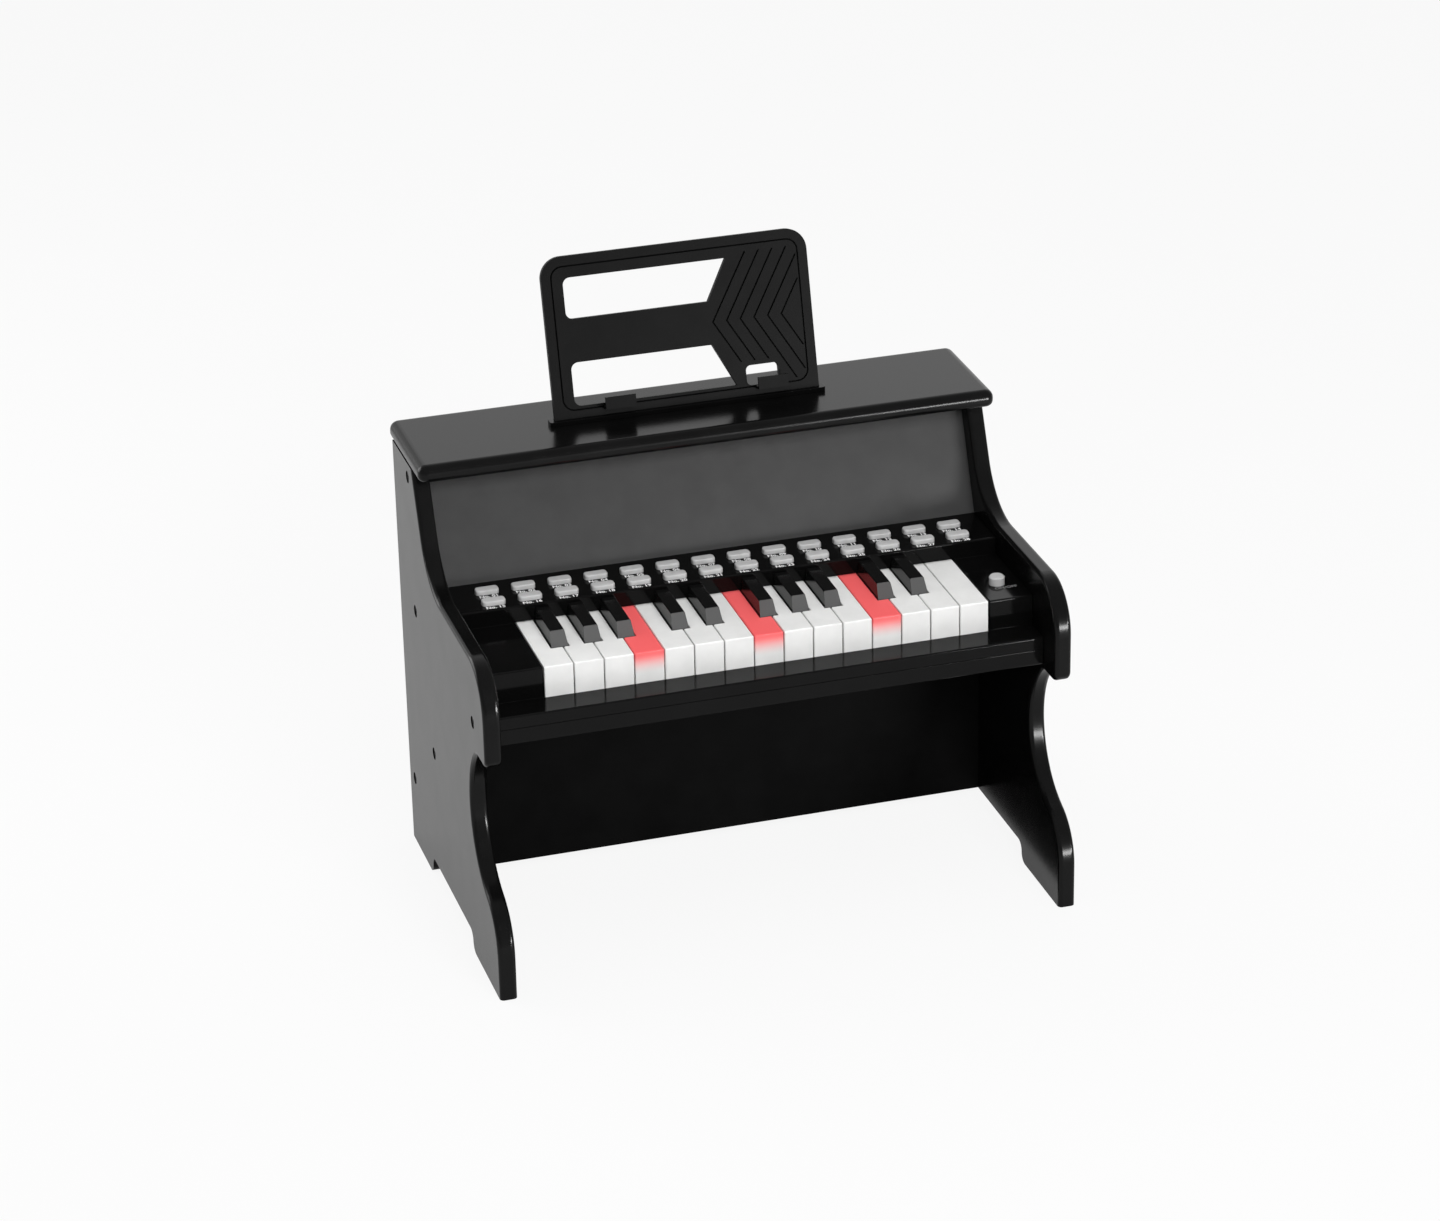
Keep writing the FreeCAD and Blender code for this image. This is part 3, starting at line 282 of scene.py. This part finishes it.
INK_HEIGHT = 0.00004
INK_SWELL = 0.00008
INK_LIFT = 0.00005
NUMBER_SIZE = 0.0048
NUMBER_GAP = 0.0030
POWER_MARK_SIZE = 0.0044
POWER_MARK_GAP = 0.0025
POWER_MARK_SHIFT = 0.003

white_ink = surface("white_ink", greys(0.86, 0.92), (0.5, 0.6), 400)
grey_ink = surface("grey_ink", greys(0.14, 0.18), (0.5, 0.6), 400)


def mark(name, words, ink, size, x, y, z):
    """A flat printed word on the module, read from the front."""
    curve = bpy.data.curves.new(name, "FONT")
    curve.body = words
    curve.size = size
    curve.align_x = "CENTER"
    curve.align_y = "CENTER"
    curve.extrude = INK_HEIGHT
    curve.offset = INK_SWELL
    curve.materials.append(ink)
    text = bpy.data.objects.new(name, curve)
    text.location = (x, y, z)
    bpy.context.collection.objects.link(text)
    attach(text, "cabinet")


# A column's node holds a rear and a front button, each a cap with a narrow flange round it
COLUMNS = 14
FLANGE = 0.0009
CAP_DEPTH = 0.0078
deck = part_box("keyboard_case")[1].z + INK_LIFT
for column in range(1, COLUMNS + 1):
    low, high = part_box(f"button_pair_{column:02d}")
    middle = (low.x + high.x) / 2
    cap_fronts = {"rear": high.y - FLANGE - CAP_DEPTH, "front": low.y + FLANGE}
    for row, (place, cap_front) in enumerate(cap_fronts.items()):
        name = f"{place}_number_{column:02d}"
        number = f"No. {column + row * COLUMNS:02d}"
        mark(name, number, white_ink, NUMBER_SIZE, middle, cap_front - NUMBER_GAP, deck)

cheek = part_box("white_key_15")[1].z + INK_LIFT
low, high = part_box("power_button")
beside = (low.x + high.x) / 2 + POWER_MARK_SHIFT
mark("power_mark", "ON/OFF", grey_ink, POWER_MARK_SIZE, beside, low.y - POWER_MARK_GAP, cheek)


# Floor and sky, which look white to the camera and partly white in reflections

WHITE = (1, 1, 1, 1)
FLOOR_SEEN = 0.90
FLOOR_MIRRORED = 0.50
FLOOR_REACH = 6.0
SKY_SEEN = 1.0
SKY_MIRRORED = 0.20
ROOM_ROUGH = (0.85, 0.95)
CARD_REACH = (0.18, 0.12)
CARD_LIFT = 0.0005


def whiten(tree, plain, white, camera_share, mirror_share, output):
    """Turns a share of what the camera sees, and of what mirrors and glass show, into white."""
    path = tree.nodes.new("ShaderNodeLightPath")
    seen = ramp(tree, path.outputs["Is Camera Ray"], 0, 1, 0, camera_share)
    for ray in ("Is Glossy Ray", "Is Transmission Ray"):
        seen = combine(tree, "MAXIMUM", seen, ramp(tree, path.outputs[ray], 0, 1, 0, mirror_share))
    blend = tree.nodes.new("ShaderNodeMixShader")
    tree.links.new(seen, blend.inputs["Fac"])
    tree.links.new(plain, blend.inputs[1])
    tree.links.new(white, blend.inputs[2])
    tree.links.new(blend.outputs["Shader"], tree.nodes[output].inputs["Surface"])


def sheet(name, x, y, z, material):
    """A flat rectangle with one material, linked into the scene."""
    mesh = bpy.data.meshes.new(name)
    mesh.from_pydata([(-x, -y, z), (x, -y, z), (x, y, z), (-x, y, z)], [], [(0, 1, 2, 3)])
    mesh.materials.append(material)
    plane = bpy.data.objects.new(name, mesh)
    bpy.context.collection.objects.link(plane)
    return plane


floor_material = surface("floor", greys(0.60, 0.64), ROOM_ROUGH, 3, gloss=0.0)
tree = floor_material.node_tree
glow = tree.nodes.new("ShaderNodeEmission")
glow.inputs["Color"].default_value = WHITE
glow.inputs["Strength"].default_value = 1.0
pale = tree.nodes["Principled BSDF"].outputs["BSDF"]
whiten(tree, pale, glow.outputs["Emission"], FLOOR_SEEN, FLOOR_MIRRORED, "Material Output")
sheet("floor", FLOOR_REACH, FLOOR_REACH, 0.0, floor_material)

# A dark card between the feet, which only reflections see: painted shade of the floor under the piano, as
# reflections show it
painted_shade_card_material = surface("painted_shade_card", greys(0.004, 0.006), ROOM_ROUGH, 3, gloss=0.0)
card = sheet("painted_shade_card", *CARD_REACH, CARD_LIFT, painted_shade_card_material)
card.visible_camera = False
card.visible_diffuse = False
card.visible_transmission = False
card.visible_shadow = False

# The sky gives less light from the front and from above than from the back
SKY_FRONT = 0.30
SKY_BACK = 1.05
SKY_CHANGE = (0.1, 0.9)
world = bpy.data.worlds.new("studio")
bpy.context.scene.world = world
world.use_nodes = True
tree = world.node_tree
sky = tree.nodes["Background"]
sky.inputs["Color"].default_value = WHITE
to_back = along(tree, "Generated", (0, 1, 0))
tree.links.new(ramp(tree, to_back, *SKY_CHANGE, SKY_FRONT, SKY_BACK), sky.inputs["Strength"])
white_sky = tree.nodes.new("ShaderNodeBackground")
white_sky.inputs["Color"].default_value = WHITE
white_sky.inputs["Strength"].default_value = 1.0
plain_light = sky.outputs["Background"]
white_light = white_sky.outputs["Background"]
whiten(tree, plain_light, white_light, SKY_SEEN, SKY_MIRRORED, "World Output")


# Lamps, in metres and watts

def softbox(name, place, aim, width, height, power, lighting=True, mirrored=True):
    """A soft light that faces a point, for plain lighting, for reflections or for both."""
    light = bpy.data.lights.new(name, "AREA")
    light.shape = "RECTANGLE"
    light.size = width
    light.size_y = height
    light.energy = power
    lamp = bpy.data.objects.new(name, light)
    lamp.location = place
    lamp.rotation_mode = "QUATERNION"
    lamp.rotation_quaternion = (Vector(aim) - Vector(place)).to_track_quat("-Z", "Y")
    bpy.context.collection.objects.link(lamp)
    lamp.visible_camera = False
    lamp.visible_diffuse = lighting
    lamp.visible_glossy = mirrored


softbox("top_softbox", (0.0, -0.3, 2.2), (0, 0, 0.2), 1.6, 1.6, 14, mirrored=False)
softbox("front_softbox", (0.2, -1.95, 1.45), (0, 0, 0.2), 0.9, 0.6, 38, mirrored=False)
softbox("left_softbox", (-1.3, 1.0, 0.7), (-0.2, 0.1, 0.1), 1.0, 1.0, 12)
softbox("rear_softbox", (0.6, 2.2, 1.3), (0, 0, 0.3), 2.0, 1.2, 2)
softbox("low_softbox", (1.15, -1.7, 0.16), (0, 0, 0.16), 0.9, 0.26, 55, lighting=False)

# Camera at the photo's angle
CAMERA_SENSOR = 36.0
CAMERA_LENS = 111.45
CAMERA_SIGHT = 50.0
CAMERA_PLACE = (-0.7898, -2.6604, 1.4905)
CAMERA_RIGHT = Vector((0.95663, -0.29064, -0.01977))
CAMERA_DOWN = Vector((-0.13978, -0.39842, -0.90649))
CAMERA_FORWARD = Vector((0.25558, 0.86994, -0.42177))
camera_data = bpy.data.cameras.new("camera")
camera_data.sensor_width = CAMERA_SENSOR
camera_data.lens = CAMERA_LENS
camera_data.clip_end = CAMERA_SIGHT
camera = bpy.data.objects.new("camera", camera_data)
turn = Matrix((CAMERA_RIGHT, -CAMERA_DOWN, -CAMERA_FORWARD)).transposed()
camera.matrix_world = Matrix.Translation(CAMERA_PLACE) @ turn.to_4x4()
bpy.context.collection.objects.link(camera)
bpy.context.scene.camera = camera
bpy.context.scene.view_settings.view_transform = "Standard"
